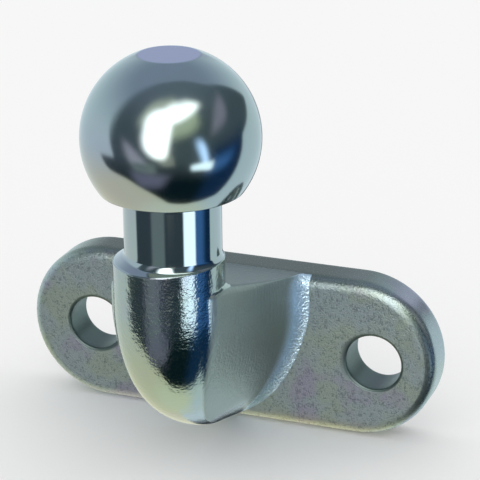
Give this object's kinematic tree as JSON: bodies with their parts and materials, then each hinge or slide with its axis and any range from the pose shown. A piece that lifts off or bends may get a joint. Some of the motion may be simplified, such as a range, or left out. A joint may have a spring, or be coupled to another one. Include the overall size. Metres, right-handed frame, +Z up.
{
  "type": "tow ball",
  "caption": "Flange-mounted tow ball: a forged arm rises from a flat bolting flange to a turned neck and a ball with a flat on top.",
  "frame": {"origin": "on the flat mounting face, midway between the two bolt holes", "axes": "+Z up, the ball stands out towards -Y, X along the flange and the line of the bolt holes"},
  "size_m": [0.1302, 0.08, 0.1269],
  "materials": {
    "zinc_steel": "zinc plated, thinly passivated"
  },
  "bodies": {
    "root": {"tow_ball": "zinc_steel"}
  },
  "joints": []
}
